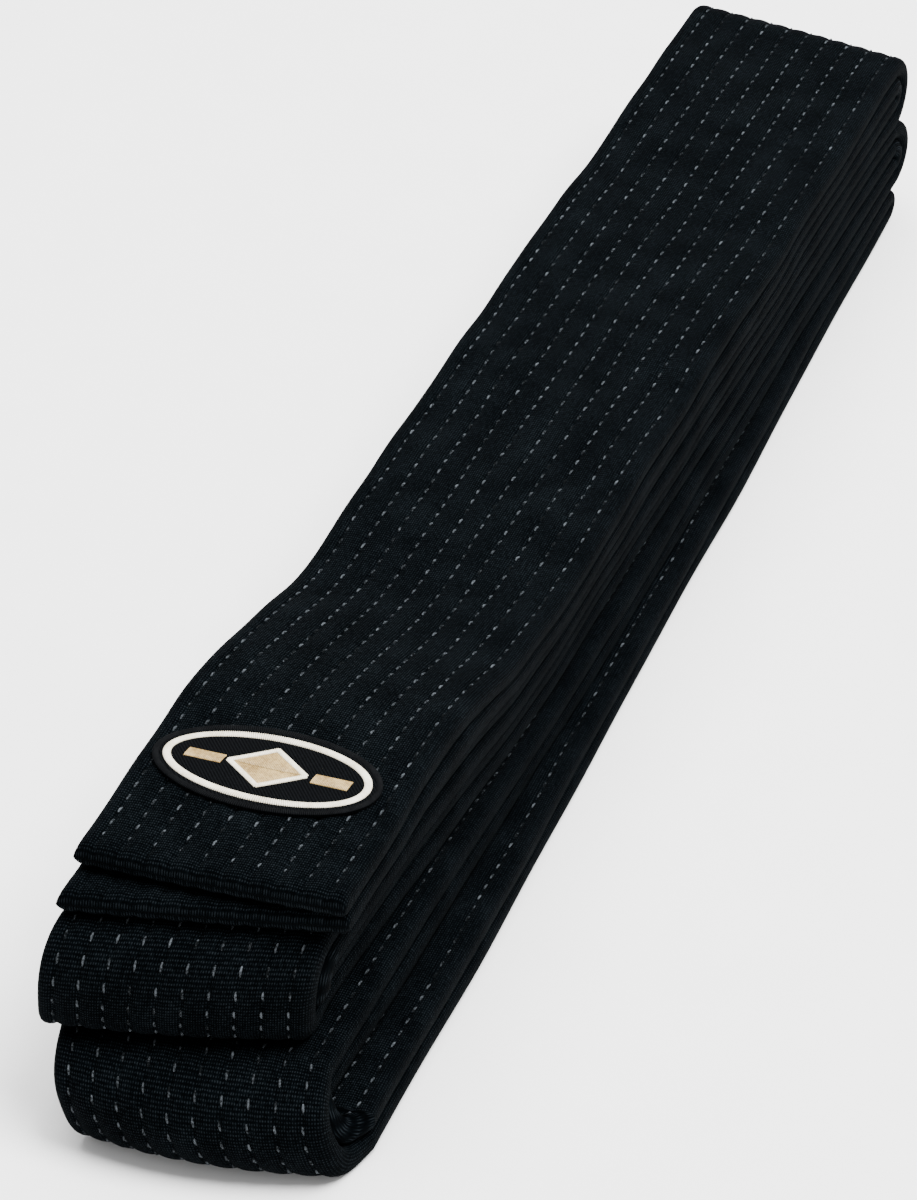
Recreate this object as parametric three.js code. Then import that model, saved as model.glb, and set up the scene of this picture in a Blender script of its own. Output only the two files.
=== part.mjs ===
// A quilted martial arts belt, doubled and folded into a neat bundle of ten layers.
//
// The belt is one long strip: a woven cover wrapped round a soft core. It is doubled at its
// middle, and the doubled strip is folded back and forth into five runs, so each run holds an
// upper and a lower layer. Run 1 is the top one and ends in the belt's two tips. Run 5 lies on
// the table and ends in the belt's middle fold. Every run and every fold is a cover and a core
// of its own, so that each fold can open like a hinge.
//
// Millimetres. X runs across the strip, Y along the runs from the tips to the far folds, and Z
// up from the table. The finished group is centred over its own footprint.

import * as THREE from 'three';

// ---------------------------------------------------------------- driving dimensions

const BELT_WIDTH = 45;
const LAYER_THICKNESS = 3.5;
const EDGE_CHAMFER = 1.1;
const COVER_WALL = 0.5;
const CLEARANCE = 0.3; // between any two pieces that lie against each other

const RUN_LENGTH = 280; // between the planes where the longest run's folds begin
const FAR_END_Y = 134; // the far one of those planes
const UPPER_TIP_SET_BACK = 7.5; // from the near one of those planes
const LOWER_TIP_SET_BACK = 5.3;
const UPPER_TIP_SKEW = 4.8; // how much further back its right corner lies than its left one
const LOWER_TIP_SKEW = 12.7;
const TURN_EXPONENT = 2.8; // 2 would make each turn half a circle, and more makes it squarer

const TIGHT_GAP = 0.4; // between layers where the bundle is pressed flat
const LOOSE_GAP = 1.47; // between layers near the tips, where the bundle is loose
const LOOSENING_LENGTH = 57; // along which the one turns into the other
const LOOSENING_STEPS = 4;

const LABEL_FROM_TIP = 24.6; // from the upper tip to the label's centre
const LABEL_OFF_CENTRE = 1; // to the left
const LABEL_SIDE_MARGIN = 3.5;
const LABEL_LOOSE_MARGIN = 2.5; // past the label, before the layers begin to close up
const LABEL_WIDTH = 19;
const LABEL_THICKNESS = 0.9;
const LABEL_RING_INSET = 1.6;
const LABEL_RING_WIDTH = 1.3;
const EMBROIDERY_THICKNESS = 0.7;
const DIAMOND_LENGTH = 13;
const DIAMOND_WIDTH = 9;
const BAR_WIDTH = 2.2;
const BAR_INNER_GAP = 1.2; // from a bar to the diamond's point
const BAR_OUTER_GAP = 2.4; // from a bar to the ring

const ARC_STEPS = 11;
const OVAL_STEPS = 28;

// Each run from the top down: how far its near end lies to the right of run 1's.
const RUNS = [
  { name: 'run_1', fan: 0 },
  { name: 'run_2', fan: -2 },
  { name: 'run_3', fan: -3.5 },
  { name: 'run_4', fan: 0 },
  { name: 'run_5', fan: 7.2 },
];

// Each fold joins one run to the next one down. The straight layers end at its plane, which
// holds its hinge. The set-back is how far short of the bundle's far or near end that plane
// crosses X = 0, and the skew is how much further in +Y it lies at the strip's right than at its
// left. Where the turn is outermost, the lean is how far it strays to the right, and the sag is
// how far it hangs down.
const FOLDS = [
  { name: 'far_top_fold', upperRun: 0, far: true, setBack: 0, skew: -3, lean: 0, sag: 0.5 },
  { name: 'near_upper_fold', upperRun: 1, far: false, setBack: 8.4, skew: 14, lean: 0, sag: 3 },
  { name: 'far_lower_fold', upperRun: 2, far: true, setBack: 0, skew: 0, lean: 0.5, sag: 0.5 },
  { name: 'near_lower_fold', upperRun: 3, far: false, setBack: 0, skew: 8, lean: 0, sag: 1.3 },
];
const MIDDLE_FOLD = { name: 'middle_fold', far: true, setBack: 1, skew: 0, lean: 0, sag: 0 };

// ---------------------------------------------------------------- derived values

const LAYERS_PER_RUN = 2;
const LAYER_COUNT = RUNS.length * LAYERS_PER_RUN;
const NEAR_END_Y = FAR_END_Y - RUN_LENGTH;
const UPPER_TIP_Y = NEAR_END_Y + UPPER_TIP_SET_BACK;
const LOWER_TIP_Y = NEAR_END_Y + LOWER_TIP_SET_BACK;
const TIGHT_PITCH = LAYER_THICKNESS + TIGHT_GAP; // from one layer's middle to the next one's
const LOOSE_PITCH = LAYER_THICKNESS + LOOSE_GAP;
const LABEL_CENTRE_Y = UPPER_TIP_Y + LABEL_FROM_TIP;
const LABEL_LENGTH = BELT_WIDTH - 2 * LABEL_SIDE_MARGIN;
const LOOSE_UNTIL_Y = LABEL_CENTRE_Y + LABEL_WIDTH / 2 + LABEL_LOOSE_MARGIN;
const TIGHT_FROM_Y = LOOSE_UNTIL_Y + LOOSENING_LENGTH;

const coverMaterial = fabric(0x14161c, 0.95);
const coreMaterial = fabric(0xb9b2a2, 1);
const patchMaterial = fabric(0x0c0d10, 0.9);
const goldMaterial = fabric(0xb4965a, 0.55);
const creamMaterial = fabric(0xe0d3ae, 0.6);

function fabric(color, roughness) {
  return new THREE.MeshStandardMaterial({ color, roughness, metalness: 0 });
}

// The height from one layer to the next at a place along the bundle.
function pitchAt(y) {
  const tight = THREE.MathUtils.smoothstep(y, LOOSE_UNTIL_Y, TIGHT_FROM_Y);
  return THREE.MathUtils.lerp(LOOSE_PITCH, TIGHT_PITCH, tight);
}

// Layers count from the table up, so the bottom one lies flat on Z = 0.
function layerHeight(layer, y) {
  return LAYER_THICKNESS / 2 + layer * pitchAt(y);
}

function upperLayerOf(run) {
  return LAYER_COUNT - 1 - run * LAYERS_PER_RUN;
}

// A run's sideways place fades from its fan at the near end to nothing at the far end.
function sideways(run, y) {
  return (RUNS[run].fan * (FAR_END_Y - y)) / (FAR_END_Y - NEAR_END_Y);
}

// ---------------------------------------------------------------- strip sections and lofts

// The strip's section as x and w pairs, w being along the thickness, set in from its surface.
function stripSection(inset) {
  const side = BELT_WIDTH / 2 - inset;
  const face = LAYER_THICKNESS / 2 - inset;
  const corner = EDGE_CHAMFER - inset * (2 - Math.SQRT2);
  return [
    [-side + corner, -face],
    [side - corner, -face],
    [side, -face + corner],
    [side, face - corner],
    [side - corner, face],
    [-side + corner, face],
    [-side, face - corner],
    [-side, -face + corner],
  ];
}

function placeSection(section, station) {
  return section.map(([x, w]) => station(x, w));
}

// A closed body through rings of points. Its ends are capped, or joined to make a sleeve.
function loft(rings, endsJoined) {
  const count = rings[0].length;
  const triangles = [];
  const last = endsJoined ? rings.length : rings.length - 1;
  for (let k = 0; k < last; k += 1) {
    const here = k * count;
    const next = ((k + 1) % rings.length) * count;
    for (let j = 0; j < count; j += 1) {
      const i = (j + 1) % count;
      triangles.push(here + j, next + j, next + i);
      triangles.push(here + j, next + i, here + i);
    }
  }
  if (!endsJoined) {
    const end = (rings.length - 1) * count;
    for (let j = 1; j < count - 1; j += 1) {
      triangles.push(0, j, j + 1);
      triangles.push(end, end + j + 1, end + j);
    }
  }
  const geometry = new THREE.BufferGeometry();
  const points = rings.flat().flatMap((point) => point.toArray());
  geometry.setAttribute('position', new THREE.Float32BufferAttribute(points, 3));
  geometry.setIndex(triangles);
  geometry.computeVertexNormals();
  return geometry;
}

// A cover is a sleeve, or a sleeve with its first end closed where an inner list starts later.
function coverGeometry(outerStations, innerStations, closedEnd) {
  const outer = outerStations.map((station) => placeSection(stripSection(0), station));
  const inner = innerStations.map((station) => placeSection(stripSection(COVER_WALL), station));
  return loft([...outer, ...inner.reverse()], !closedEnd);
}

function coreGeometry(stations) {
  const section = stripSection(COVER_WALL + CLEARANCE);
  return loft(stations.map((station) => placeSection(section, station)), false);
}

function piece(name, geometry, material) {
  const mesh = new THREE.Mesh(geometry, material);
  mesh.name = name;
  return mesh;
}

// ---------------------------------------------------------------- runs

// How far a slanted plane has moved in Y at a place across the belt.
function slant(skew, x) {
  return (skew * x) / BELT_WIDTH;
}

// Where a fold's plane crosses X = 0.
function planeOf(fold) {
  return fold.far ? FAR_END_Y - fold.setBack : NEAR_END_Y + fold.setBack;
}

// A station places a section point on one layer of a run, on an upright plane.
function layerStation(run, layer, y, skew) {
  const shift = sideways(run, y);
  return (x, w) => new THREE.Vector3(
    x + shift,
    y + slant(skew, x + shift),
    layerHeight(layer, y) + w,
  );
}

// A layer's stations, from its near end to its far end. Each end is a place and a skew.
function layerStations(run, layer, near, far) {
  const stations = [layerStation(run, layer, near.y, near.skew)];
  for (let k = 0; k <= LOOSENING_STEPS; k += 1) {
    const y = THREE.MathUtils.lerp(LOOSE_UNTIL_Y, TIGHT_FROM_Y, k / LOOSENING_STEPS);
    stations.push(layerStation(run, layer, y, 0));
  }
  stations.push(layerStation(run, layer, far.y, far.skew));
  return stations;
}

// The folds at a run's two ends. The top run has no near fold, because it ends in the tips.
function foldsOf(run) {
  const joined = [FOLDS[run - 1], FOLDS[run]].filter(Boolean);
  return {
    far: joined.find((fold) => fold.far) ?? MIDDLE_FOLD,
    near: joined.find((fold) => !fold.far),
  };
}

function buildRun(run) {
  const group = new THREE.Group();
  const folds = foldsOf(run);
  const far = { y: planeOf(folds.far) - CLEARANCE / 2, skew: folds.far.skew };
  const layers = [
    { side: 'upper', layer: upperLayerOf(run), tipY: UPPER_TIP_Y, tipSkew: UPPER_TIP_SKEW },
    { side: 'lower', layer: upperLayerOf(run) - 1, tipY: LOWER_TIP_Y, tipSkew: LOWER_TIP_SKEW },
  ];
  for (const { side, layer, tipY, tipSkew } of layers) {
    const isTip = !folds.near;
    const skew = isTip ? tipSkew : folds.near.skew;
    const startY = isTip ? tipY : planeOf(folds.near) + CLEARANCE / 2;
    const stationsFrom = (inset) => {
      const y = isTip ? startY + inset : startY;
      return layerStations(run, layer, { y, skew }, far);
    };
    const cover = coverGeometry(stationsFrom(0), stationsFrom(COVER_WALL), isTip);
    const core = coreGeometry(stationsFrom(COVER_WALL + CLEARANCE));
    const name = `${RUNS[run].name}_${side}`;
    group.add(piece(`${name}_cover`, cover, coverMaterial));
    group.add(piece(`${name}_core`, core, coreMaterial));
  }
  return group;
}

// ---------------------------------------------------------------- folds

// How far a turn of radius 1 reaches at an angle, on a superellipse.
function turnReach(angle) {
  const outward = Math.abs(Math.cos(angle)) ** TURN_EXPONENT;
  const upward = Math.abs(Math.sin(angle)) ** TURN_EXPONENT;
  return (outward + upward) ** (-1 / TURN_EXPONENT);
}

// The stations of a U-turn from one layer down to another, beyond the fold's plane.
function turnStations(fold, upper, lower) {
  const outward = fold.far ? 1 : -1;
  const plane = planeOf(fold);
  const start = plane + (outward * CLEARANCE) / 2;
  const top = layerHeight(upper.layer, plane);
  const bottom = layerHeight(lower.layer, plane);
  const centre = (top + bottom) / 2;
  const radius = (top - bottom) / 2;
  const topShift = sideways(upper.run, plane);
  const bottomShift = sideways(lower.run, plane);

  const stations = [];
  for (let k = 0; k <= ARC_STEPS; k += 1) {
    const turn = k / ARC_STEPS;
    const angle = Math.PI * (0.5 - turn);
    const lean = fold.lean * Math.cos(angle);
    const sag = fold.sag * Math.cos(angle) ** 2;
    const shift = THREE.MathUtils.lerp(topShift, bottomShift, turn) + lean;
    const out = outward * Math.cos(angle) * turnReach(angle);
    const up = Math.sin(angle) * turnReach(angle);
    stations.push((x, w) => new THREE.Vector3(
      x + shift,
      start + slant(fold.skew, x + shift) + out * (radius + w),
      centre + up * (radius + w) - sag,
    ));
  }
  // A near fold mirrors a far one, so its rings run the other way to keep faces outward.
  return fold.far ? stations : stations.reverse();
}

function buildTurn(name, fold, upper, lower) {
  const stations = turnStations(fold, upper, lower);
  const group = new THREE.Group();
  group.add(piece(`${name}_cover`, coverGeometry(stations, stations, false), coverMaterial));
  group.add(piece(`${name}_core`, coreGeometry(stations), coreMaterial));
  return group;
}

// A fold of the doubled strip: the outer layers turn round the inner ones.
function buildFold(fold) {
  const upperRun = fold.upperRun;
  const lowerRun = upperRun + 1;
  const upper = upperLayerOf(upperRun);
  const lower = upperLayerOf(lowerRun);
  const group = new THREE.Group();
  group.add(buildTurn(
    `${fold.name}_outer`,
    fold,
    { run: upperRun, layer: upper },
    { run: lowerRun, layer: lower - 1 },
  ));
  group.add(buildTurn(
    `${fold.name}_inner`,
    fold,
    { run: upperRun, layer: upper - 1 },
    { run: lowerRun, layer: lower },
  ));
  return group;
}

// The belt's own middle, where it is doubled before it is folded.
function buildMiddleFold() {
  const run = RUNS.length - 1;
  const upper = upperLayerOf(run);
  return buildTurn(MIDDLE_FOLD.name, MIDDLE_FOLD, { run, layer: upper }, { run, layer: upper - 1 });
}

// ---------------------------------------------------------------- label

function ovalPath(path, length, width) {
  return path.absellipse(0, 0, length / 2, width / 2, 0, Math.PI * 2, false);
}

function plate(shape, thickness) {
  return new THREE.ExtrudeGeometry(shape, {
    depth: thickness,
    bevelEnabled: false,
    curveSegments: OVAL_STEPS,
  });
}

function diamondShape() {
  return new THREE.Shape([
    new THREE.Vector2(DIAMOND_LENGTH / 2, 0),
    new THREE.Vector2(0, DIAMOND_WIDTH / 2),
    new THREE.Vector2(-DIAMOND_LENGTH / 2, 0),
    new THREE.Vector2(0, -DIAMOND_WIDTH / 2),
  ]);
}

// An oval patch with an embroidered ring, a diamond in its middle and a bar on either side.
function buildLabel() {
  const group = new THREE.Group();
  const topOfBelt = layerHeight(LAYER_COUNT - 1, LABEL_CENTRE_Y) + LAYER_THICKNESS / 2;
  const patchZ = topOfBelt + CLEARANCE;
  const threadZ = patchZ + LABEL_THICKNESS + CLEARANCE;

  const patch = ovalPath(new THREE.Shape(), LABEL_LENGTH, LABEL_WIDTH);
  const ring = ovalPath(
    new THREE.Shape(),
    LABEL_LENGTH - 2 * LABEL_RING_INSET,
    LABEL_WIDTH - 2 * LABEL_RING_INSET,
  );
  const ringHoleInset = LABEL_RING_INSET + LABEL_RING_WIDTH;
  const ringHole = ovalPath(
    new THREE.Path(),
    LABEL_LENGTH - 2 * ringHoleInset,
    LABEL_WIDTH - 2 * ringHoleInset,
  );
  ring.holes.push(ringHole);

  const patchMesh = piece('label_patch', plate(patch, LABEL_THICKNESS), patchMaterial);
  const ringMesh = piece('label_ring', plate(ring, EMBROIDERY_THICKNESS), creamMaterial);
  const diamondMesh = piece(
    'label_diamond',
    plate(diamondShape(), EMBROIDERY_THICKNESS),
    goldMaterial,
  );
  patchMesh.position.z = patchZ;
  ringMesh.position.z = threadZ;
  diamondMesh.position.z = threadZ;
  group.add(patchMesh, ringMesh, diamondMesh);

  const barStart = DIAMOND_LENGTH / 2 + BAR_INNER_GAP;
  const barEnd = LABEL_LENGTH / 2 - ringHoleInset - BAR_OUTER_GAP;
  for (const [side, sign] of [['left', -1], ['right', 1]]) {
    const geometry = new THREE.BoxGeometry(barEnd - barStart, BAR_WIDTH, EMBROIDERY_THICKNESS);
    const bar = piece(`label_${side}_bar`, geometry, goldMaterial);
    const middle = (barStart + barEnd) / 2;
    bar.position.set(sign * middle, 0, threadZ + EMBROIDERY_THICKNESS / 2);
    group.add(bar);
  }
  group.position.set(-LABEL_OFF_CENTRE, LABEL_CENTRE_Y, 0);
  return group;
}

// ---------------------------------------------------------------- the whole belt

const bundle = new THREE.Group();
RUNS.forEach((_, run) => bundle.add(buildRun(run)));
FOLDS.forEach((fold) => bundle.add(buildFold(fold)));
bundle.add(buildMiddleFold());
bundle.add(buildLabel());

const footprint = new THREE.Box3().setFromObject(bundle).getCenter(new THREE.Vector3());
bundle.position.set(-footprint.x, -footprint.y, 0);

const belt = new THREE.Group();
belt.name = 'martial_arts_belt';
belt.add(bundle);

export default belt;
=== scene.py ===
# A quilted martial arts belt, doubled and folded into a neat bundle, on a pale floor.
#
# The belt is one padded strip. Each layer of a run is one piece, and each layer of a fold is one
# piece. The middle fold moves with the bottom run. All lockstitch is real thread.
# Metres, in the row frame: X across the strip, Y along the runs, Z up.

import math

import bpy
import numpy as np
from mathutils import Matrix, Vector


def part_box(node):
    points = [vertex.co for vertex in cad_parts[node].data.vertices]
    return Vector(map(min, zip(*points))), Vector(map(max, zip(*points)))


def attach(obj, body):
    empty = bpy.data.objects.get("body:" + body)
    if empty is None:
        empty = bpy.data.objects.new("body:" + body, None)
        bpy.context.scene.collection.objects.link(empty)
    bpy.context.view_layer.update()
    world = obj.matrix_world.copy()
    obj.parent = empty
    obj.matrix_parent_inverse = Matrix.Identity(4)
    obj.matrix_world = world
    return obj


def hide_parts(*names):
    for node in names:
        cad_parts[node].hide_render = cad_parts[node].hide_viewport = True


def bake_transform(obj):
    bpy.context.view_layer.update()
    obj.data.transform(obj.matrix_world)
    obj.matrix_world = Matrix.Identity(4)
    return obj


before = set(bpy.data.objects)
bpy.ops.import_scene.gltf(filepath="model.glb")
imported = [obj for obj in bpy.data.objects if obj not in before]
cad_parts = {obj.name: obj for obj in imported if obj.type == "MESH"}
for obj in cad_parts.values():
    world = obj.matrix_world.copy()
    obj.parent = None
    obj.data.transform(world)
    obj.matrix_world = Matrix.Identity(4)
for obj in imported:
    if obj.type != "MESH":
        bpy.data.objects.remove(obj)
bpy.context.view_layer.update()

MM = 0.001

# ------------------------------------------------------------------ the belt's own sizes

BELT_WIDTH = 45 * MM
LAYER_THICKNESS = 3.5 * MM
CLEARANCE = 0.3 * MM

RUN_LENGTH = 280 * MM
UPPER_TIP_SET_BACK = 7.5 * MM
LOWER_TIP_SET_BACK = 5.3 * MM
UPPER_TIP_SKEW = 4.8 * MM
LOWER_TIP_SKEW = 12.7 * MM
NEAR_TURN_EXPONENT = 2.8  # 2 makes a turn half a circle, and more makes it squarer
FAR_TURN_EXPONENT = 2  # a far fold stays round, so that it can roll past its neighbours

TIGHT_GAP = 0.4 * MM
LOOSE_GAP = 1.47 * MM
LOOSENING_LENGTH = 57 * MM

LABEL_FROM_TIP = 24.6 * MM
LABEL_OFF_CENTRE = 1 * MM
LABEL_SIDE_MARGIN = 3.5 * MM
LABEL_LOOSE_MARGIN = 2.5 * MM
LABEL_WIDTH = 19 * MM
LABEL_LENGTH = BELT_WIDTH - 2 * LABEL_SIDE_MARGIN
LABEL_RING_INSET = 1.6 * MM
LABEL_RING_WIDTH = 1.3 * MM
DIAMOND_LENGTH = 13 * MM
DIAMOND_WIDTH = 9 * MM
BAR_WIDTH = 2.2 * MM
BAR_INNER_GAP = 1.2 * MM
BAR_OUTER_GAP = 2.4 * MM

# How far each run's near end lies to the right of the top run's, from the top run down.
FANS = [0, -2 * MM, -3.5 * MM, 0, 7.2 * MM]
RUN_COUNT = len(FANS)
LAYER_COUNT = 2 * RUN_COUNT

# The frame gives the two places that everything else is measured from.
RUN_1_LOW, RUN_1_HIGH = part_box("run_1_upper_cover")
CENTRE_X = (RUN_1_LOW.x + RUN_1_HIGH.x) / 2
FAR_END_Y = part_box("run_3_upper_cover")[1].y + CLEARANCE / 2
NEAR_END_Y = FAR_END_Y - RUN_LENGTH
UPPER_TIP_Y = NEAR_END_Y + UPPER_TIP_SET_BACK
LOWER_TIP_Y = NEAR_END_Y + LOWER_TIP_SET_BACK
LABEL_CENTRE_Y = UPPER_TIP_Y + LABEL_FROM_TIP
LOOSE_UNTIL_Y = LABEL_CENTRE_Y + LABEL_WIDTH / 2 + LABEL_LOOSE_MARGIN
TIGHT_FROM_Y = LOOSE_UNTIL_Y + LOOSENING_LENGTH

# ------------------------------------------------------------------ quilting and thread

ROW_COUNT = 10
ROW_SPACING = 4.3 * MM
ROWS = [(k - (ROW_COUNT - 1) / 2) * ROW_SPACING for k in range(ROW_COUNT)]
STITCH_PITCH = 2.9 * MM
STITCH_SHARE = 0.52  # of the pitch, the rest being the gap between two stitches
RINGS_PER_STITCH = 4
ROW_DEPTH = 0.36 * MM
BACK_DEPTH_SHARE = 0.8  # of the quilted face's depth, on the face that shows no thread
PILLOW_POWER = 0.75  # below 1 makes the pillows between the rows flatter on top
OUTER_PILLOW_REACH = 1 * MM  # beyond the outermost rows
HOLE_DEPTH = 0.24 * MM
HOLE_SPREAD_ACROSS = 0.6 * MM
HOLE_SPREAD_ALONG = 0.55 * MM
COLUMN_STEPS = (0.25 * MM, 0.6 * MM, 1.05 * MM, 1.6 * MM)  # to both sides of a row
COLUMN_DIGITS = 7  # decimals of a metre, so that two equal columns become one
COLUMN_MARGIN = 0.1 * MM  # between a column and the end of a face

EDGE_WIDTH = 2.1 * MM  # of the rounded selvage, beyond the flat of a face
EDGE_STEPS = 10
EDGE_POWER = 0.82  # below 1 makes the selvage squarer than an ellipse

TIP_SHARE = 0.12  # of its thickness, which a tip has at its very end
TIP_ROUNDING = 1.5 * MM
HEM_SHARE = 0.1  # of its thickness, by which the hem behind a tip is thicker
HEM_FROM_TIP = 3 * MM
HEM_SPREAD = 2.5 * MM
TIP_RINGS = (0.12, 0.3, 0.5, 1.1, 1.8)  # millimetres from a tip

THREAD_RADIUS = 0.2 * MM
THREAD_SIDES = 6
THREAD_RINGS = (-1, -0.72, 0, 0.72, 1)  # from one end of a stitch to the other
THREAD_FULLNESS = 1.12  # nearer 1 makes the ends of a stitch more pointed
THREAD_FLATNESS = 0.85  # the height of a thread against its width
STITCH_ARCH = 0.16 * MM  # how far the middle of a stitch stands over the bottom of its row
STITCH_DIVE = 0.34 * MM  # how far its ends lie below its middle
STITCH_SLOPE = 0.12 * MM  # how far askew each half of it lies, as in lockstitch

# ------------------------------------------------------------------ how the cloth wanders

SWELL_SHARE = 0.75  # of the gap above it, which the padding of a layer fills
MIDDLE_LOFT = 1.2 * MM  # how much higher than its ends the middle of the top run lies
LOFT_POWER = 1.4  # above 1 moves the highest place towards the far end

WAVE_SCALES = (1.0, 0.61, 0.37)  # which add up to nearly 2
STRAY_SEED = 100  # the bottom layer's, and one more for each layer above it
STRAY = dict(amplitude=0.35 * MM, wavelength=120 * MM)
RIPPLE_ALONG = dict(seed=7, amplitude=0.5 * MM, wavelength=70 * MM)
RIPPLE_ACROSS = dict(seed=8, amplitude=0.4 * MM, wavelength=45 * MM)
RIPPLE_TILT = 0.4  # 0 would lay the ripples square across the strip
ROW_WANDER = dict(seed=21, amplitude=0.22 * MM, wavelength=60 * MM)
ROW_WANDER_SHIFT = 3  # a row's wander is shifted along by this many times its place across
LEAST_WANDERING_LENGTH = 100 * MM  # the rows of a shorter strip stay straight
ROW_PULL = dict(seed=33, amplitude=0.25, wavelength=23 * MM)
ROW_PULL_SHIFT = 11  # as ROW_WANDER_SHIFT


def smoothstep(value, low, high):
    t = np.clip((value - low) / (high - low), 0, 1)
    return t * t * (3 - 2 * t)


def lerp(a, b, t):
    return a + (b - a) * t


def gap_at(y):
    return lerp(LOOSE_GAP, TIGHT_GAP, smoothstep(y, LOOSE_UNTIL_Y, TIGHT_FROM_Y))


def layer_height(layer, y):
    return LAYER_THICKNESS / 2 + layer * (LAYER_THICKNESS + gap_at(y))


def swell_at(y):
    return SWELL_SHARE * gap_at(y)


def sideways(run, y):
    return FANS[run] * (FAR_END_Y - y) / RUN_LENGTH


def slant(skew, x):
    return skew * x / BELT_WIDTH


def waves(y, seed, amplitude, wavelength):
    """A smooth, aperiodic wander along y, which goes no further than the amplitude."""
    rng = np.random.default_rng(seed)
    total = np.zeros_like(np.asarray(y, float))
    for scale in WAVE_SCALES:
        phase = rng.uniform(0, 2 * math.pi)
        total = total + scale * np.sin(2 * math.pi * y / (wavelength * scale) + phase)
    return amplitude * total / 2


def stray(layer, y):
    """How far a layer lies to one side of its run."""
    return waves(y, STRAY_SEED + layer, **STRAY)


def ripple(layer, x, y):
    """How far a layer lies above its straight place: nothing on the floor, most at the top."""
    along = waves(y + RIPPLE_TILT * x, **RIPPLE_ALONG)
    across = waves(y, **RIPPLE_ACROSS) * np.sin(math.pi * x / BELT_WIDTH)
    share = np.clip((y - NEAR_END_Y) / RUN_LENGTH, 0, 1)
    loft = MIDDLE_LOFT * np.sin(math.pi * share ** LOFT_POWER)
    return (along + across + loft) * layer / (LAYER_COUNT - 1)


# ------------------------------------------------------------------ where the cloth lies

# Each turn starts at a plane, set back from the end that the runs are measured to.
# skew: how much further along Y the right selvage lies than the left one
# lean: how far the turn leans to the right where it is outermost
# sag: how far it hangs down there
# crown: how much further its middle reaches there than its two selvages
# pinch: the share of its width that it loses, where the cloth is drawn together
FOLDS = [
    dict(name="far_top_fold", upper_run=0, far=True, set_back=0, skew=-3 * MM, lean=0,
         sag=0, crown=0, pinch=0),
    dict(name="near_upper_fold", upper_run=1, far=False, set_back=8.4 * MM, skew=14 * MM,
         lean=0, sag=3 * MM, crown=1.5 * MM, pinch=0.07),
    dict(name="far_lower_fold", upper_run=2, far=True, set_back=0, skew=0, lean=0.5 * MM,
         sag=0, crown=0, pinch=0),
    dict(name="near_lower_fold", upper_run=3, far=False, set_back=0, skew=8 * MM, lean=0,
         sag=1.3 * MM, crown=3.5 * MM, pinch=0.02),
]
MIDDLE_FOLD = dict(name="middle_fold", far=True, set_back=1 * MM, skew=0, lean=0, sag=0,
                   crown=0, pinch=0)
PINCH_LENGTH = 50 * MM  # over which a run takes its full width again


def plane_of(fold):
    if fold["far"]:
        return FAR_END_Y - fold["set_back"]
    return NEAR_END_Y + fold["set_back"]


def upper_layer_of(run):
    return LAYER_COUNT - 1 - 2 * run


class Strip:
    """A stretch of one layer: where it lies, how long it is and which face is quilted.

    place(x, w, u) gives the points at x across the strip, w above its centre line, and u along
    it from 0 to 1. The cloth is half(u) thick to both sides of middle(u). The corners of a
    flipped strip's faces are listed in reverse.
    """

    def __init__(self, name, place, middle, half, length, quilted, tip=False, flipped=False):
        self.name = name
        self.place = place
        self.middle = middle
        self.half = half
        self.length = length
        self.quilted = quilted
        self.tip = tip
        self.flipped = flipped
        self.stitches = max(2, round(length / STITCH_PITCH))

    def face(self, side, u):
        """The height of a face over the strip's centre line, before it is quilted."""
        return self.middle(u) + side * self.half(u)


def run_strip(run, side):
    upper = side == "upper"
    layer = upper_layer_of(run) - (0 if upper else 1)
    joined = [f for f in FOLDS if f["upper_run"] in (run, run - 1)]
    far = next((f for f in joined if f["far"]), MIDDLE_FOLD)
    near = next((f for f in joined if not f["far"]), None)
    far_y, far_skew = plane_of(far), far["skew"]
    near_y = plane_of(near) if near else (UPPER_TIP_Y if upper else LOWER_TIP_Y)
    tip_skew = UPPER_TIP_SKEW if upper else LOWER_TIP_SKEW
    near_skew = near["skew"] if near else tip_skew

    def place(x, w, u):
        y = lerp(near_y, far_y, u)
        if near:
            x = x * (1 - near["pinch"] * (1 - smoothstep(y, near_y, near_y + PINCH_LENGTH)))
        x = x + sideways(run, y) + stray(layer, y)
        z = layer_height(layer, y) + ripple(layer, x, y) + w
        y = y + lerp(slant(near_skew, x), slant(far_skew, x), u)
        return np.stack(np.broadcast_arrays(x + CENTRE_X, y, z), axis=-1)

    def middle(u):
        return swell_at(lerp(near_y, far_y, u)) / 2

    def half(u):
        return (LAYER_THICKNESS + swell_at(lerp(near_y, far_y, u))) / 2

    return Strip(f"run_{run + 1}_{side}_strip", place, middle, half, far_y - near_y,
                 1 if upper else -1, tip=near is None)


def turn_reach(fold, angle):
    """How far a turn of radius 1 reaches at an angle, on a superellipse."""
    exponent = FAR_TURN_EXPONENT if fold["far"] else NEAR_TURN_EXPONENT
    outward = np.abs(np.cos(angle)) ** exponent
    upward = np.abs(np.sin(angle)) ** exponent
    return (outward + upward) ** (-1 / exponent)


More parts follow.
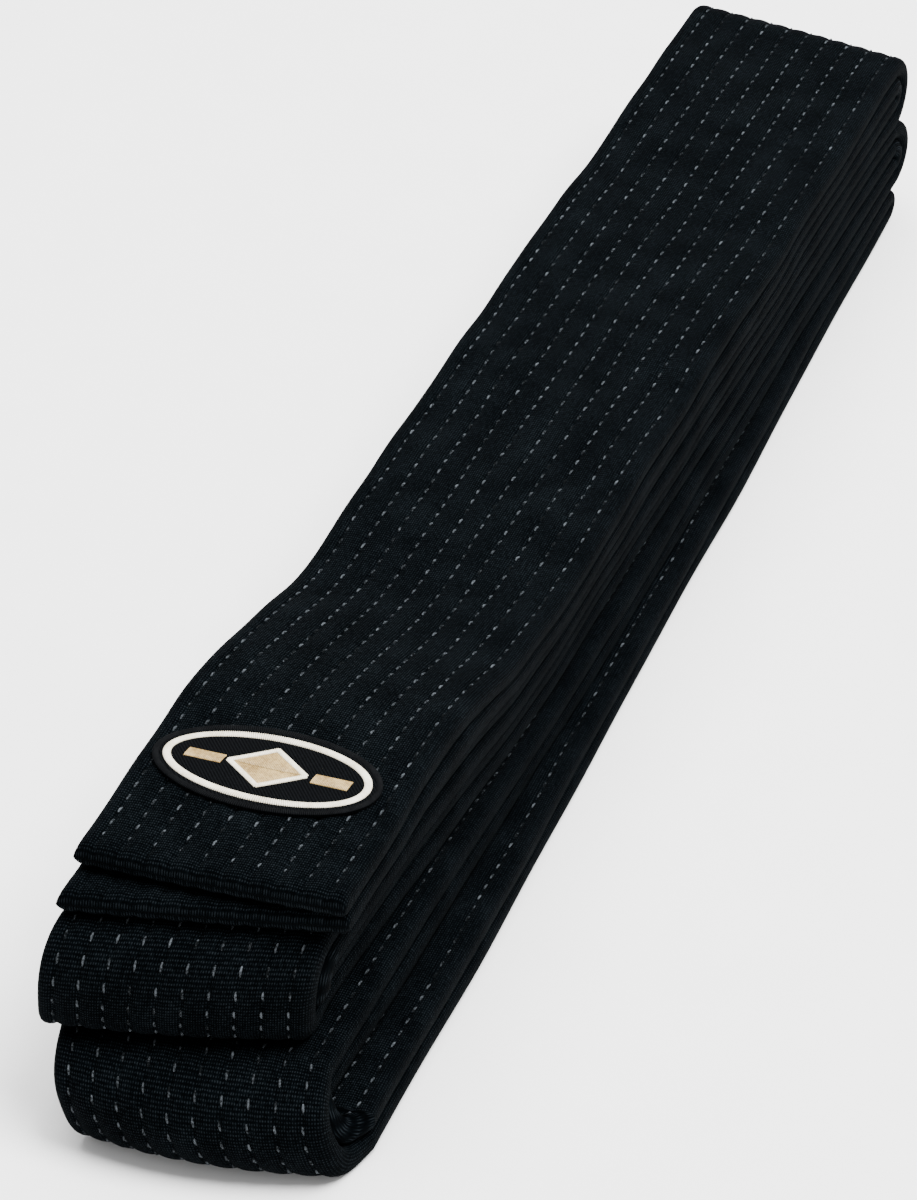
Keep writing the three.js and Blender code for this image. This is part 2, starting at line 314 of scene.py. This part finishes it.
def turn_strip(name, fold, upper, lower, quilted):
    """A U-turn from one (run, layer) down to another, with u from 0 at the upper one."""
    plane = plane_of(fold)
    outward = 1 if fold["far"] else -1
    top = layer_height(upper[1], plane)
    bottom = layer_height(lower[1], plane)
    radius = (top - bottom) / 2
    shift_top = sideways(upper[0], plane) + stray(upper[1], plane)
    shift_bottom = sideways(lower[0], plane) + stray(lower[1], plane)
    swell = swell_at(plane)

    def place(x, w, u):
        angle = math.pi * (0.5 - u)
        outermost = np.cos(angle) ** 2
        reach = (radius + w) * turn_reach(fold, angle)
        bulge = fold["crown"] * (1 - (2 * x / BELT_WIDTH) ** 2) * outermost
        x = x * (1 - fold["pinch"])
        x = x + lerp(shift_top, shift_bottom, u) + fold["lean"] * np.cos(angle)
        lift = lerp(ripple(upper[1], x, plane), ripple(lower[1], x, plane), u)
        y = plane + slant(fold["skew"], x) + outward * (reach * np.cos(angle) + bulge)
        z = (top + bottom) / 2 + reach * np.sin(angle) - fold["sag"] * outermost + lift
        return np.stack(np.broadcast_arrays(x + CENTRE_X, y, z), axis=-1)

    def middle(u):
        return swell / 2 * (1 - 2 * u)

    def half(_):
        return (LAYER_THICKNESS + swell) / 2

    length = math.pi * (radius + quilted * LAYER_THICKNESS / 2)
    return Strip(name, place, middle, half, length, quilted, flipped=fold["far"])


# ------------------------------------------------------------------ meshes

def row_wander(x, u, strip):
    """How far the stitch rows stray from straight lines, fading out at a strip's ends."""
    if strip.length < LEAST_WANDERING_LENGTH:
        return 0 * x * u
    fade = np.sin(math.pi * u) ** 0.5
    return fade * waves(u * strip.length + ROW_WANDER_SHIFT * x, **ROW_WANDER)


def row_pull(x, u, strip):
    """How hard the thread pulls the cloth down along a row: about 1, and nowhere even."""
    return 1 + waves(u * strip.length + ROW_PULL_SHIFT * x, **ROW_PULL)


def nearest_row(x):
    index = np.clip(np.round(x / ROW_SPACING + (ROW_COUNT - 1) / 2), 0, ROW_COUNT - 1)
    return (index - (ROW_COUNT - 1) / 2) * ROW_SPACING


def quilt_depth(x, u, strip):
    """How far the stitches pull a face in below its pillows."""
    off_row = np.abs(x - nearest_row(x))
    outermost = np.abs(x) > ROWS[-1]
    reach = np.where(outermost, OUTER_PILLOW_REACH, ROW_SPACING / 2)
    pillow = np.sin(np.clip(off_row / reach, 0, 1) * math.pi / 2) ** PILLOW_POWER
    count = u * strip.stitches
    off_hole = np.abs(count - np.round(count)) * STITCH_PITCH
    hole = np.exp(-((off_row / HOLE_SPREAD_ACROSS) ** 2) - (off_hole / HOLE_SPREAD_ALONG) ** 2)
    return ROW_DEPTH * (1 - pillow) * row_pull(x, u, strip) + HOLE_DEPTH * hole


def face_columns(fine):
    """Places across a face, from left to right: closest together at each stitch row."""
    steps = COLUMN_STEPS if fine else ()
    offsets = [0, ROW_SPACING / 2, *steps, *(-step for step in steps)]
    columns = {round(row + offset, COLUMN_DIGITS) for row in ROWS for offset in offsets}
    flat = BELT_WIDTH / 2 - EDGE_WIDTH
    inside = sorted(c for c in columns if abs(c) < flat - COLUMN_MARGIN)
    return [-flat, *inside, flat]


def section(strip):
    """The ring round a strip: x, height from -1 to 1, and the face it belongs to."""
    ring = []
    flat = BELT_WIDTH / 2 - EDGE_WIDTH
    angles = [math.pi * (0.5 - k / EDGE_STEPS) for k in range(1, EDGE_STEPS)]
    for side in (1, -1):
        columns = face_columns(fine=side == strip.quilted)
        if side == -1:
            columns.reverse()
        ring += [(x, side, side) for x in columns]
        for angle in angles:
            reach = EDGE_WIDTH * abs(math.cos(angle)) ** EDGE_POWER
            height = math.copysign(abs(math.sin(angle)) ** EDGE_POWER, math.sin(angle))
            ring.append((side * (flat + reach), side * height, 0))
    x, height, face = (np.array(column, float) for column in zip(*ring))
    return x, height, face


def tip_taper(distance):
    """The share of its thickness that a hemmed tip has at a distance from its end."""
    rounded = np.clip(distance / TIP_ROUNDING, 0, 1)
    hem = HEM_SHARE * np.exp(-((distance - HEM_FROM_TIP) / HEM_SPREAD) ** 2)
    return TIP_SHARE + (1 - TIP_SHARE) * np.sqrt(1 - (1 - rounded) ** 2) + hem * rounded


SMOOTH_ANGLE = math.radians(50)


def mesh_object(name, points, faces, material):
    mesh = bpy.data.meshes.new(name)
    mesh.from_pydata(np.asarray(points).reshape(-1, 3).tolist(), [], faces)
    mesh.polygons.foreach_set("use_smooth", [True] * len(mesh.polygons))
    mesh.set_sharp_from_angle(angle=SMOOTH_ANGLE)
    mesh.materials.append(material)
    made = bpy.data.objects.new(name, mesh)
    bpy.context.scene.collection.objects.link(made)
    return made


def grid_faces(rings, columns, flipped):
    """The quads of a closed tube of rings, and its two end caps."""
    ring, column = np.meshgrid(np.arange(rings - 1), np.arange(columns), indexing="ij")
    following = (column + 1) % columns
    here, there = ring * columns, (ring + 1) * columns
    quads = np.stack([here + column, there + column, there + following, here + following], -1)
    quads = quads.reshape(-1, 4)
    first = np.arange(columns)
    last = first[::-1] + (rings - 1) * columns
    if flipped:
        quads, first, last = quads[:, ::-1], first[::-1], last[::-1]
    return quads.tolist() + [first.tolist(), last.tolist()]


def lay_cloth(made, across, along, columns):
    """Stores each corner's place on the flat cloth, which the weave is drawn on.

    Column 0 is both the start and the end of the way round. It counts as the end in a face that
    has the last column too, or that is listed from another column.
    """
    mesh = made.data
    corners = np.empty(len(mesh.loops), np.int32)
    mesh.loops.foreach_get("vertex_index", corners)
    ring, column = corners // columns, corners % columns
    starts = [polygon.loop_start for polygon in mesh.polygons]
    totals = [polygon.loop_total for polygon in mesh.polygons]
    listed_first = np.repeat(column[starts], totals)
    highest = np.repeat(np.maximum.reduceat(column, starts), totals)
    at_the_end = (column == 0) & ((listed_first != 0) | (highest == columns - 1))
    spots = np.zeros((len(corners), 3), np.float32)
    spots[:, 0] = np.where(at_the_end, across[-1], across[column])
    spots[:, 1] = along[ring]
    cloth = mesh.attributes.new("cloth", "FLOAT_VECTOR", "CORNER")
    cloth.data.foreach_set("vector", spots.ravel())


def strip_rings(strip):
    steps = strip.stitches * RINGS_PER_STITCH
    u = np.arange(steps + 1) / steps
    if strip.tip:
        near_tip = np.array(TIP_RINGS) * MM / strip.length
        u = np.unique(np.concatenate([u, near_tip]))
    return u


def build_strip(strip, material):
    x, height, face = section(strip)
    u = strip_rings(strip)
    grid_u, grid_x = np.meshgrid(u, x, indexing="ij")
    depth = quilt_depth(grid_x, grid_u, strip)
    depth = depth * (face == strip.quilted) + depth * BACK_DEPTH_SHARE * (face == -strip.quilted)
    taper = tip_taper(grid_u * strip.length) if strip.tip else 1.0
    w = strip.middle(grid_u) + (strip.half(grid_u) * height - face * depth) * taper
    wander = row_wander(grid_x, grid_u, strip) * (face != 0)
    points = strip.place(grid_x + wander, w, grid_u)
    faces = grid_faces(len(u), len(x), strip.flipped)
    made = mesh_object(strip.name, points, faces, material)
    steps = np.hypot(np.diff(np.append(x, x[0])),
                     np.diff(np.append(height, height[0])) * LAYER_THICKNESS / 2)
    across = np.concatenate([[0], np.cumsum(steps)])
    lay_cloth(made, across, u * strip.length, len(x))
    return made


def ring_angles(sides):
    """The angles round a thread, on the last axis of an array of stitches, rings and sides."""
    return (np.arange(sides) * 2 * math.pi / sides)[None, None, :]


def repeated_faces(start, stop, rings, sides, flipped):
    """The faces of as many threads as the points from start to stop make up."""
    pattern = grid_faces(rings, sides, flipped)
    return [[base + v for v in face] for base in range(start, stop, rings * sides)
            for face in pattern]


def build_stitches(name, strips, material):
    """The thread that shows on the quilted faces of these strips: one short arch a stitch."""
    points, faces, count = [], [], 0
    for strip in strips:
        for row in ROWS:
            spots = stitch_row(strip, row)
            stop = count + len(spots)
            faces += repeated_faces(count, stop, len(THREAD_RINGS), THREAD_SIDES, strip.flipped)
            points.append(spots)
            count = stop
    return mesh_object(name, np.concatenate(points), faces, material)


def stitch_row(strip, row):
    """The points of every stitch in a row. A tip's hem hides its first stitch."""
    side = strip.quilted
    t = np.array(THREAD_RINGS)[None, :, None]
    angle = ring_angles(THREAD_SIDES)
    first = 1 if strip.tip else 0
    number = np.arange(first, strip.stitches)[:, None, None]
    u = (number + 0.5 + t * STITCH_SHARE / 2) / strip.stitches + 0 * angle
    girth = THREAD_RADIUS * np.sqrt(THREAD_FULLNESS - t * t)
    row_x = row + row_wander(row, u, strip)
    x = row_x + STITCH_SLOPE * t + girth * np.cos(angle)
    depth = ROW_DEPTH * row_pull(row, u, strip)
    arch = STITCH_ARCH - STITCH_DIVE * t ** 2
    w = strip.face(side, u) + side * (arch - depth) + girth * THREAD_FLATNESS * np.sin(angle)
    return strip.place(x, w, u).reshape(-1, 3)


# ------------------------------------------------------------------ materials

def new_material(name):
    material = bpy.data.materials.new(name)
    material.use_nodes = True
    tree = material.node_tree
    return material, tree, tree.nodes["Principled BSDF"]


def node(tree, kind, inputs=(), **settings):
    """Adds a node, sets its properties, and fills or links its inputs by name or number."""
    made = tree.nodes.new(kind)
    for key, value in settings.items():
        setattr(made, key, value)
    for key, value in dict(inputs).items():
        if isinstance(value, bpy.types.NodeSocket):
            tree.links.new(value, made.inputs[key])
        else:
            made.inputs[key].default_value = value
    return made


def math_node(tree, operation, *values):
    return node(tree, "ShaderNodeMath", dict(enumerate(values)), operation=operation).outputs[0]


def in_millimetres(tree, place):
    scaled = node(tree, "ShaderNodeVectorMath", {0: place, 1: (1 / MM,) * 3}, operation="MULTIPLY")
    return scaled.outputs[0]


def cloth_place(tree):
    """The place on the flat cloth, in millimetres."""
    attribute = node(tree, "ShaderNodeAttribute", attribute_name="cloth")
    return in_millimetres(tree, attribute.outputs["Vector"])


def scene_place(tree):
    """The place in the scene, in millimetres, for pieces that have no flat cloth."""
    return in_millimetres(tree, node(tree, "ShaderNodeNewGeometry").outputs["Position"])


def rounded_wave(tree, place, axis, period):
    """A smooth ridge for each thread, from 0 to 1, along one axis of the cloth."""
    split = node(tree, "ShaderNodeSeparateXYZ", {0: place})
    turns = math_node(tree, "MULTIPLY", split.outputs[axis], 2 * math.pi / period)
    return math_node(tree, "MULTIPLY_ADD", math_node(tree, "SINE", turns), 0.5, 0.5)


def noise(tree, place, scale, detail=2.0, roughness=0.5):
    inputs = {"Vector": place, "Scale": scale, "Detail": detail, "Roughness": roughness}
    return node(tree, "ShaderNodeTexNoise", inputs).outputs["Fac"]


def ramp(tree, value, stops):
    """Turns a value into a colour: each stop is a position and a colour."""
    made = node(tree, "ShaderNodeValToRGB", {"Fac": value})
    elements = made.color_ramp.elements
    while len(elements) < len(stops):
        elements.new(0.5)
    for element, (position, colour) in zip(elements, stops):
        element.position = position
        element.color = (*colour, 1)
    return made.outputs["Color"]


BUMP_STRENGTH = 0.9
SHEEN_ROUGHNESS = 0.5


def set_surface(tree, shader, colour, height, depth, roughness, specular, sheen):
    """Links a colour and a bump, and sets the numbers that are the same all over."""
    tree.links.new(colour, shader.inputs["Base Color"])
    bump_inputs = {"Height": height, "Strength": BUMP_STRENGTH, "Distance": depth}
    bump = node(tree, "ShaderNodeBump", bump_inputs)
    tree.links.new(bump.outputs["Normal"], shader.inputs["Normal"])
    shader.inputs["Roughness"].default_value = roughness
    shader.inputs["Specular IOR Level"].default_value = specular
    shader.inputs["Sheen Weight"].default_value = sheen
    shader.inputs["Sheen Roughness"].default_value = SHEEN_ROUGHNESS


def cotton_material():
    """Black cotton, plainly woven: thread ridges, slubs, lint caught in them and worn bands."""
    material, tree, shader = new_material("black_cotton")
    place = cloth_place(tree)
    warp = rounded_wave(tree, place, axis=0, period=0.42)
    weft = rounded_wave(tree, place, axis=1, period=0.52)
    weave = math_node(tree, "MULTIPLY", warp, weft)
    slubs = noise(tree, place, scale=1.6, detail=3.0, roughness=0.65)
    nap = noise(tree, place, scale=4.5)
    worn = noise(tree, place, scale=0.11, detail=3.0, roughness=0.6)
    speckle = math_node(tree, "MULTIPLY_ADD", nap, weave, slubs)
    worn_share, tone_scale = 0.5, 0.62
    tone = math_node(tree, "MULTIPLY_ADD", worn, worn_share, speckle)
    colour = ramp(tree, math_node(tree, "MULTIPLY", tone, tone_scale), [
        (0.42, (0.0002, 0.0004, 0.0006)),
        (0.60, (0.0010, 0.0017, 0.0022)),
        (0.80, (0.0075, 0.0098, 0.0118)),
    ])
    slub_height = 0.8
    height = math_node(tree, "MULTIPLY_ADD", slubs, slub_height, weave)
    set_surface(tree, shader, colour, height, depth=0.12 * MM, roughness=0.95, specular=0.008,
                sheen=0.003)
    return material


def twill_material():
    """The label's ground: black twill, whose fine ribs run slantwise."""
    material, tree, shader = new_material("black_twill")
    place = scene_place(tree)
    split = node(tree, "ShaderNodeSeparateXYZ", {0: place})
    along = math_node(tree, "ADD", split.outputs[0], split.outputs[1])
    rib_frequency, rib_height = 9.0, 0.3
    ribs = math_node(tree, "SINE", math_node(tree, "MULTIPLY", along, rib_frequency))
    fuzz = noise(tree, place, scale=3.5, detail=3.0)
    height = math_node(tree, "MULTIPLY_ADD", ribs, rib_height, fuzz)
    colour = ramp(tree, height, [(0.2, (0.0004, 0.0005, 0.0007)), (0.9, (0.0028, 0.0032, 0.0038))])
    set_surface(tree, shader, colour, height, depth=0.08 * MM, roughness=0.85, specular=0.02,
                sheen=0.002)
    return material


def thread_material(name, dull, bright, low, high, roughness, specular):
    """Twisted thread, from dull to bright where its strands' noise goes from low to high."""
    material, tree, shader = new_material(name)
    place = scene_place(tree)
    strands = noise(tree, place, scale=2.4, detail=3.0)
    patches = noise(tree, place, scale=0.35)
    half_strands = math_node(tree, "MULTIPLY", strands, 0.5)
    mixed = math_node(tree, "MULTIPLY_ADD", patches, 0.5, half_strands)
    colour = ramp(tree, mixed, [(low, dull), (high, bright)])
    set_surface(tree, shader, colour, strands, depth=0.06 * MM, roughness=roughness,
                specular=specular, sheen=0.0)
    return material


# ------------------------------------------------------------------ the belt

COTTON = cotton_material()
TWILL = twill_material()
STITCH_THREAD = thread_material(
    "grey_stitch_thread", dull=(0.0012, 0.0018, 0.0022), bright=(0.060, 0.068, 0.076),
    low=0.44, high=0.64, roughness=0.8, specular=0.04)
BORDER_THREAD = thread_material(
    "black_border_thread", dull=(0.0012, 0.0014, 0.0018), bright=(0.0040, 0.0044, 0.0050),
    low=0.35, high=0.7, roughness=0.7, specular=0.03)
GOLD_THREAD = thread_material(
    "gold_thread", dull=(0.20, 0.125, 0.042), bright=(0.44, 0.31, 0.13),
    low=0.35, high=0.65, roughness=0.42, specular=0.35)
CREAM_THREAD = thread_material(
    "cream_thread", dull=(0.62, 0.56, 0.42), bright=(0.86, 0.82, 0.70),
    low=0.35, high=0.65, roughness=0.45, specular=0.3)


def finish_piece(nodes):
    """Hides the CAD nodes that a piece stands for."""
    if nodes:
        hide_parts(*nodes)


def build_run(run):
    body = f"run_{run + 1}"
    strips = []
    for side in ("upper", "lower"):
        strip = run_strip(run, side)
        made = build_strip(strip, COTTON)
        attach(made, body)
        finish_piece([f"{body}_{side}_cover", f"{body}_{side}_core"])
        strips.append(strip)
    stitches = build_stitches(f"{body}_stitching", strips, STITCH_THREAD)
    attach(stitches, body)
    finish_piece([])


def blend_fold(made):
    """Bakes the transform of a piece of a fold into its mesh."""
    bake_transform(made)


def build_fold(fold):
    upper_run, lower_run = fold["upper_run"], fold["upper_run"] + 1
    top, bottom = upper_layer_of(upper_run), upper_layer_of(lower_run)
    turns = [
        ("outer", (upper_run, top), (lower_run, bottom - 1), 1),
        ("inner", (upper_run, top - 1), (lower_run, bottom), -1),
    ]
    for which, upper, lower, quilted in turns:
        name = f"{fold['name']}_{which}"
        strip = turn_strip(f"{name}_strip", fold, upper, lower, quilted)
        made = build_strip(strip, COTTON)
        blend_fold(made)
        finish_piece([f"{name}_cover", f"{name}_core"])
        stitches = build_stitches(f"{name}_stitching", [strip], STITCH_THREAD)
        blend_fold(stitches)
        finish_piece([])


def build_middle_fold():
    run = RUN_COUNT - 1
    top = upper_layer_of(run)
    strip = turn_strip("middle_fold_strip", MIDDLE_FOLD, (run, top), (run, top - 1), 1)
    made = build_strip(strip, COTTON)
    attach(made, f"run_{run + 1}")
    finish_piece(["middle_fold_cover", "middle_fold_core"])
    stitches = build_stitches("middle_fold_stitching", [strip], STITCH_THREAD)
    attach(stitches, f"run_{run + 1}")
    finish_piece([])


# ------------------------------------------------------------------ the label

PATCH_THICKNESS = 0.7 * MM
PATCH_STEPS = 96
# Rings as shares of the patch's size and thickness: out under it, and back over its rim.
PATCH_UNDERSIDE = [(0.25, -0.2), (0.5, -0.2), (0.7, -0.2), (0.88, -0.2)]
PATCH_TOP = [(1.0, 0.0), (1.0, 0.45), (0.985, 0.75), (0.95, 0.95), (0.88, 1.0), (0.7, 1.0),
             (0.5, 1.0), (0.25, 1.0)]

SATIN_PITCH = 0.27 * MM
SATIN_RADIUS = 0.16 * MM
SATIN_ARCH = 0.12 * MM
SATIN_SIDES = 6
# Each ring's place from one end of a thread to the other, and its share of the thread's radius.
SATIN_RINGS = ((-1, 0.4), (-0.9, 0.9), (-0.4, 1), (0.4, 1), (0.9, 0.9), (1, 0.4))
BORDER_WIDTH = 1.1 * MM
BORDER_OVERHANG = 0.1 * MM
BORDER_LIFT = 0.8 * PATCH_THICKNESS
OUTLINE_WIDTH = 0.9 * MM
OUTLINE_LIFT = PATCH_THICKNESS + 0.15 * MM
BAR_LEAN = 0.3 * MM
LABEL_BED = run_strip(0, "upper")


def on_label(x, y, lift):
    """A point over the top layer, at a place measured from the label's centre."""
    u = (LABEL_CENTRE_Y + y - UPPER_TIP_Y) / LABEL_BED.length
    return LABEL_BED.place(x - LABEL_OFF_CENTRE, LABEL_BED.face(1, u) + lift, u)


def ride_label(made, nodes):
    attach(made, "run_1")
    finish_piece(nodes)


def build_patch():
    """The oval ground: a thin cushion whose rim is turned down on to the belt."""
    turn = np.linspace(0, 2 * math.pi, PATCH_STEPS, endpoint=False)
    rings = PATCH_UNDERSIDE + PATCH_TOP
    points = [on_label(share * LABEL_LENGTH / 2 * np.cos(turn),
                       share * LABEL_WIDTH / 2 * np.sin(turn), height * PATCH_THICKNESS)
              for share, height in rings]
    faces = grid_faces(len(rings), PATCH_STEPS, True)
    patch = mesh_object("label_patch_cloth", np.array(points), faces, TWILL)
    ride_label(patch, ["label_patch"])


def satin(starts, ends, lift):
    """The points of side-by-side threads from one list of places to the other."""
    starts, ends = np.asarray(starts, float), np.asarray(ends, float)
    along = (ends - starts) / np.linalg.norm(ends - starts, axis=1, keepdims=True)
    across = np.stack([along[:, 1], -along[:, 0]], -1)[:, None, None, :]
    t = np.array([ring[0] for ring in SATIN_RINGS])[None, :, None]
    girth = SATIN_RADIUS * np.array([ring[1] for ring in SATIN_RINGS])[None, :, None]
    angle = ring_angles(SATIN_SIDES)
    middle = lerp(starts[:, None, None, :], ends[:, None, None, :], ((t + 1) / 2)[..., None])
    flat = middle + across * (girth * np.cos(angle))[..., None]
    height = lift + SATIN_ARCH * (1 - t * t) + girth * np.sin(angle)
    return on_label(flat[..., 0], flat[..., 1], height).reshape(-1, 3)


def satin_piece(name, batches, material, nodes):
    points = np.concatenate(batches)
    faces = repeated_faces(0, len(points), len(SATIN_RINGS), SATIN_SIDES, False)
    made = mesh_object(name, points, faces, material)
    ride_label(made, nodes)


def oval_threads(inset, width, lift):
    """Threads laid straight across an oval band."""
    half_length, half_width = LABEL_LENGTH / 2 - inset, LABEL_WIDTH / 2 - inset
    count = round(math.pi * (half_length + half_width) / SATIN_PITCH)
    turn = np.arange(count) * 2 * math.pi / count
    spot = np.stack([np.cos(turn), np.sin(turn)], -1)
    outer = spot * (half_length, half_width)
    inner = spot * (half_length - width, half_width - width)
    return satin(inner, outer, lift)


def diamond_threads(lift):
    """Two leaves of threads that meet along the diamond's long middle."""
    x = np.arange(-DIAMOND_LENGTH / 2 + SATIN_PITCH, DIAMOND_LENGTH / 2, SATIN_PITCH)
    edge = DIAMOND_WIDTH / 2 * (1 - 2 * np.abs(x) / DIAMOND_LENGTH)
    middle = np.stack([x, 0 * x], -1)
    return [satin(middle, np.stack([x, side * edge], -1), lift) for side in (1, -1)]


def outline_threads(lift):
    """A narrow band of threads across each of the diamond's four sides."""
    batches = []
    for side_x in (1, -1):
        for side_y in (1, -1):
            tip = np.array([side_x * DIAMOND_LENGTH / 2, 0])
            top = np.array([0, side_y * DIAMOND_WIDTH / 2])
            length = np.linalg.norm(tip - top)
            share = np.linspace(0, 1, round(length / SATIN_PITCH) + 1)[:, None]
            normal = np.array([side_x * DIAMOND_WIDTH, side_y * DIAMOND_LENGTH])
            reach = normal / np.linalg.norm(normal) * OUTLINE_WIDTH / 2
            spots = lerp(tip, top, share)
            batches.append(satin(spots - reach, spots + reach, lift))
    return batches


def bar_threads(sign, lift):
    """Threads laid across a bar, left of the diamond where the sign is -1 and right of it at 1."""
    ring = LABEL_RING_INSET + LABEL_RING_WIDTH
    first = DIAMOND_LENGTH / 2 + BAR_INNER_GAP
    last = LABEL_LENGTH / 2 - ring - BAR_OUTER_GAP
    x = sign * np.arange(first, last, SATIN_PITCH)
    low = np.stack([x, 0 * x - BAR_WIDTH / 2], -1)
    high = np.stack([x + BAR_LEAN, 0 * x + BAR_WIDTH / 2], -1)
    return satin(low, high, lift)


def build_label():
    build_patch()
    top = PATCH_THICKNESS
    satin_piece("label_border_stitching",
                [oval_threads(-BORDER_OVERHANG, BORDER_WIDTH, BORDER_LIFT)], BORDER_THREAD,
                [])
    cream = [oval_threads(LABEL_RING_INSET, LABEL_RING_WIDTH, top)]
    cream += outline_threads(OUTLINE_LIFT)
    satin_piece("label_cream_stitching", cream, CREAM_THREAD, ["label_ring"])
    satin_piece("label_diamond_stitching", diamond_threads(top), GOLD_THREAD,
                ["label_diamond"])
    for side, sign in (("left", -1), ("right", 1)):
        satin_piece(f"label_{side}_bar_stitching", [bar_threads(sign, top)], GOLD_THREAD,
                    [f"label_{side}_bar"])


# ------------------------------------------------------------------ floor, light, camera

FLOOR_HALF_SIZE = 4.0


def floor_material():
    material, tree, shader = new_material("pale_floor")
    place = node(tree, "ShaderNodeNewGeometry").outputs["Position"]
    grain = noise(tree, place, scale=60.0)
    tone = ramp(tree, grain, [(0.3, (0.90, 0.90, 0.90)), (0.7, (0.92, 0.92, 0.92))])
    tree.links.new(tone, shader.inputs["Base Color"])
    shader.inputs["Roughness"].default_value = 0.95
    shader.inputs["Specular IOR Level"].default_value = 0.1
    return material


def build_floor():
    size = FLOOR_HALF_SIZE
    corners = [(-size, -size, 0), (size, -size, 0), (size, size, 0), (-size, size, 0)]
    floor = mesh_object("floor", corners, [[0, 1, 2, 3]], floor_material())


LIGHT_TARGET = (CENTRE_X, -0.03, 0.03)
WORLD_STRENGTH = 0.75


def area_light(name, place, size, power):
    light = bpy.data.lights.new(name, "AREA")
    light.shape = "DISK"
    light.size = size
    light.energy = power
    made = bpy.data.objects.new(name, light)
    made.location = place
    made.rotation_mode = "QUATERNION"
    direction = Vector(LIGHT_TARGET) - Vector(place)
    made.rotation_quaternion = direction.to_track_quat("-Z", "Y")
    bpy.context.scene.collection.objects.link(made)


def build_lights():
    world = bpy.data.worlds.new("studio")
    world.use_nodes = True
    background = world.node_tree.nodes["Background"]
    background.inputs["Color"].default_value = (1, 1, 1, 1)
    background.inputs["Strength"].default_value = WORLD_STRENGTH
    bpy.context.scene.world = world
    area_light("key", place=(0.6, 0.1, 1.5), size=0.9, power=70)
    area_light("overhead", place=(-0.2, 0.3, 1.6), size=1.6, power=60)


# The camera was fitted to the photograph's outline of the bundle. Its target is measured from
# the middle of the top run, the far end and the floor.
CAMERA_AZIMUTH = 22.93
CAMERA_ELEVATION = 40.42
CAMERA_DISTANCE = 811.9 * MM
CAMERA_LENS = 139.1
SENSOR_WIDTH = 36
CLIP_START = 0.01
TARGET_TO_THE_LEFT = 0.69 * MM
TARGET_FROM_FAR_END = 170.35 * MM
TARGET_HEIGHT = 25 * MM


def build_camera():
    azimuth, elevation = math.radians(CAMERA_AZIMUTH), math.radians(CAMERA_ELEVATION)
    target = Vector((CENTRE_X - TARGET_TO_THE_LEFT, FAR_END_Y - TARGET_FROM_FAR_END,
                     TARGET_HEIGHT))
    back = Vector((math.sin(azimuth) * math.cos(elevation),
                   -math.cos(azimuth) * math.cos(elevation), math.sin(elevation)))
    data = bpy.data.cameras.new("camera")
    data.lens = CAMERA_LENS
    data.sensor_width = SENSOR_WIDTH
    data.clip_start = CLIP_START
    camera = bpy.data.objects.new("camera", data)
    camera.location = target + back * CAMERA_DISTANCE
    camera.rotation_mode = "QUATERNION"
    camera.rotation_quaternion = (-back).to_track_quat("-Z", "Y")
    bpy.context.scene.collection.objects.link(camera)
    bpy.context.scene.camera = camera


build_camera()
build_floor()
build_lights()
for run_index in range(RUN_COUNT):
    build_run(run_index)
for fold_facts in FOLDS:
    build_fold(fold_facts)
build_middle_fold()
build_label()
